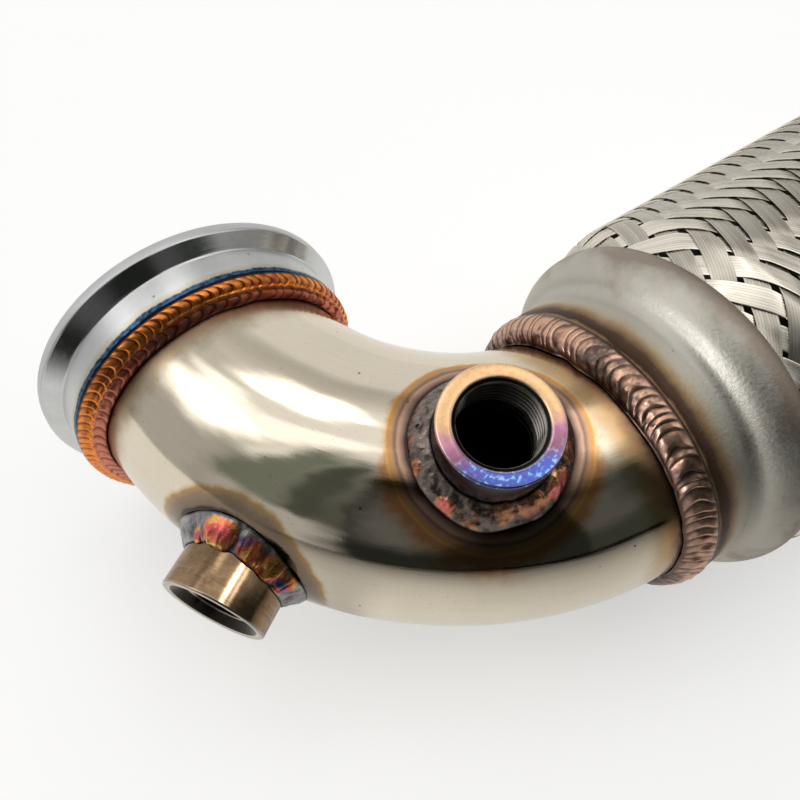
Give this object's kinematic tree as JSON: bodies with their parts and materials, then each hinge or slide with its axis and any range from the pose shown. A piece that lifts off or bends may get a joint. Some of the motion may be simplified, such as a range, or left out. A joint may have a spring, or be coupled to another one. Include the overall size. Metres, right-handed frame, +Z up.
{
  "type": "turbo downpipe",
  "caption": "Head of a turbo downpipe: V-band flange, bent stainless pipe with oxygen sensor bungs, and a braided flex section with a plain outlet pipe.",
  "frame": {"origin": "under the middle of the part's box, on the surface that it lies on", "axes": "+X along the flex section towards the plain outlet, +Y out of the V-band flange's face, +Z up, square to the plane of the bend"},
  "size_m": [0.307, 0.1266, 0.0924],
  "materials": {
    "machined_stainless": "turned, bright",
    "polished_stainless": "mirror polished, heat tinted at the welds",
    "heat_tinted_stainless": "turned, heat tinted bronze to purple",
    "weld_bead": "rippled, dark bronze and copper",
    "satin_stainless": "satin",
    "thin_stainless": "rolled, dull",
    "braid_wire": "woven bright wire"
  },
  "bodies": {
    "root": {"vband_flange": "machined_stainless", "flange_weld": "weld_bead", "elbow_pipe": "polished_stainless", "upper_sensor_bung": "heat_tinted_stainless", "upper_bung_weld": "weld_bead", "side_sensor_bung": "heat_tinted_stainless", "side_bung_weld": "weld_bead", "collar_weld": "weld_bead", "flex_inlet_collar": "satin_stainless", "flex_braid": "braid_wire", "flex_inlet_ring": "satin_stainless", "flex_bellows": "thin_stainless", "flex_liner": "thin_stainless", "flex_outlet_ring": "satin_stainless", "flex_outlet_collar": "satin_stainless", "outlet_weld": "weld_bead", "outlet_pipe": "polished_stainless"}
  },
  "joints": []
}
